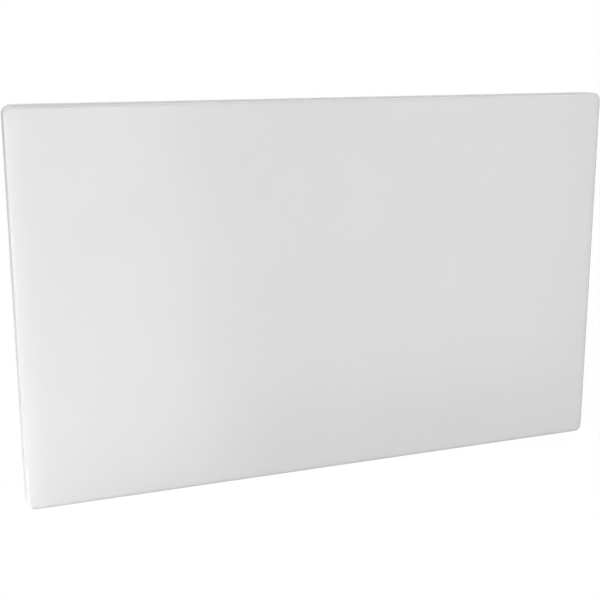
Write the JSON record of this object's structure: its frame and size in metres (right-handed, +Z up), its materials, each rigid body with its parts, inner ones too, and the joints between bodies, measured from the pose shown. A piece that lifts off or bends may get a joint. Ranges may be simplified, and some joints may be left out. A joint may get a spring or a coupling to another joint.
{
  "type": "cutting board",
  "caption": "Plain rectangular slab of thick white plastic for cutting food on, with small rounded corners and softly rounded edges, the same on both faces.",
  "frame": {"origin": "centre of the underside, the face the board rests on", "axes": "+X along the length, +Y across the width, +Z up out of the upper face, with the board lying flat for use. Turned 90 degrees about +X by the right-hand rule, it stands on its long edge."},
  "size_m": [0.53, 0.325, 0.02],
  "materials": {
    "white_polyethylene": "natural white high-density polyethylene, satin with a very fine pebble"
  },
  "bodies": {
    "root": {"board_slab": "white_polyethylene"}
  },
  "joints": []
}
